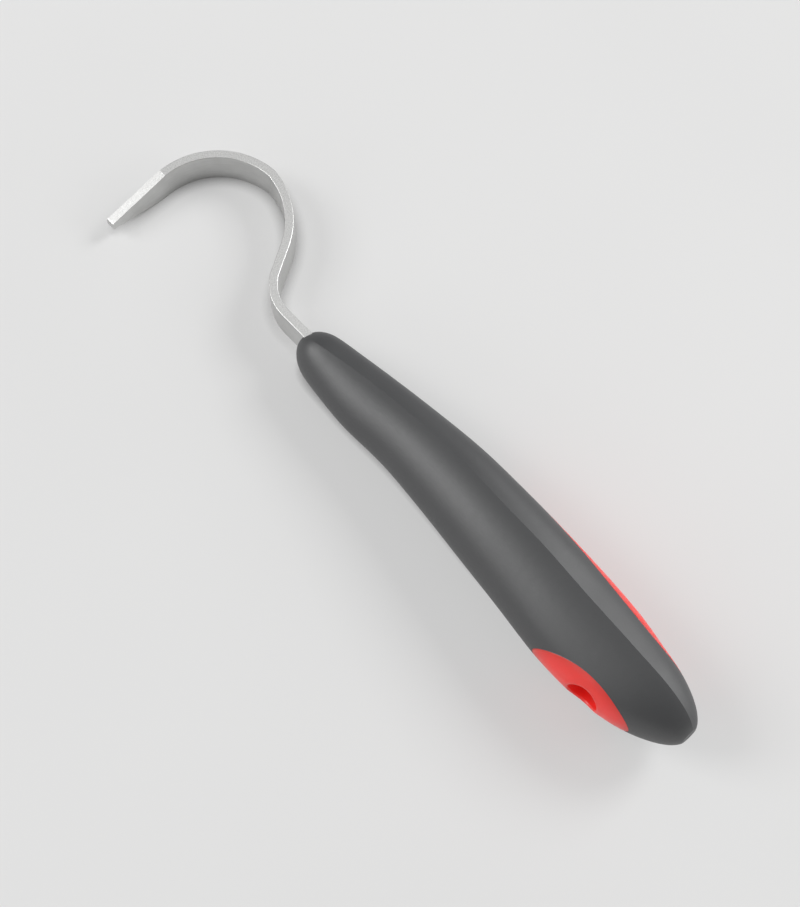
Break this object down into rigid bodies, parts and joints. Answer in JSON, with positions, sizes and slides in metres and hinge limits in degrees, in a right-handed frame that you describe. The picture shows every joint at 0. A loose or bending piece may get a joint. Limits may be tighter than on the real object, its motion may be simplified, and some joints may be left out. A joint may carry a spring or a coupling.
{
  "type": "hoof pick",
  "caption": "Hoof pick: bent flat steel hook with a tapered tip, in a soft-grip handle with a hard core and a hang hole.",
  "frame": {"origin": "centre of the hang hole's bore, on the tool's mirror plane", "axes": "+X along the handle towards the hook, +Y along the hang hole towards the side that the hook's tip points to, +Z square to the plane that the strip is bent in, up when the tool lies on its side"},
  "size_m": [0.1982, 0.0407, 0.025],
  "materials": {
    "steel_strip": "satin",
    "core_plastic": "semi-gloss",
    "soft_grip": "matt"
  },
  "bodies": {
    "root": {"hook_blade": "steel_strip", "handle_core": "core_plastic", "grip_sleeve": "soft_grip"}
  },
  "joints": []
}
